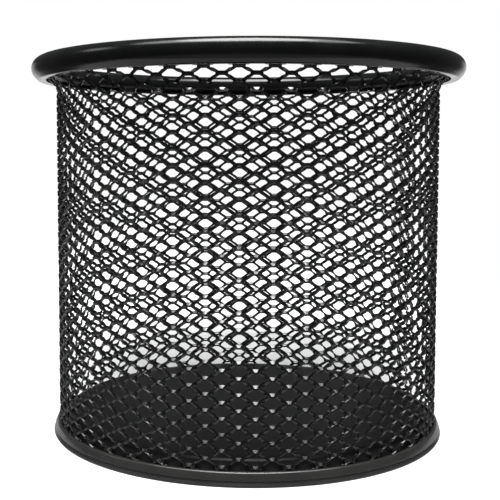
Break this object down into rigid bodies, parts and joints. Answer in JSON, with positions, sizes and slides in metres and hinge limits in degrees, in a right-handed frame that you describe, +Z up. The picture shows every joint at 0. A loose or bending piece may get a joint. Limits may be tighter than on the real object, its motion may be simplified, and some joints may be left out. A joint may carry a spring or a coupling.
{
  "type": "mesh pen cup",
  "caption": "Round open-topped desk cup of black expanded steel mesh with a hollow rolled rim, a beaded base ring and a raised pressed floor, for holding pens upright.",
  "frame": {"origin": "centre of the foot, on the surface the cup stands on", "axes": "+Z up along the cup's axis, -Y towards the viewer in the picture, +X to the viewer's right"},
  "size_m": [0.1, 0.1, 0.0865],
  "materials": {
    "rim_coat": "gloss black coating on rolled steel strip",
    "mesh_coat": "gloss black coating on expanded steel sheet",
    "base_coat": "semi-gloss black coating on rolled steel strip",
    "floor_coat": "satin black coating on pressed steel sheet"
  },
  "bodies": {
    "root": {"rim_ring": "rim_coat", "rim_weld": "rim_coat", "mesh_wall": "mesh_coat", "seam_welds": "mesh_coat", "base_ring": "base_coat", "ring_weld": "base_coat", "floor_pan": "floor_coat"}
  },
  "joints": []
}
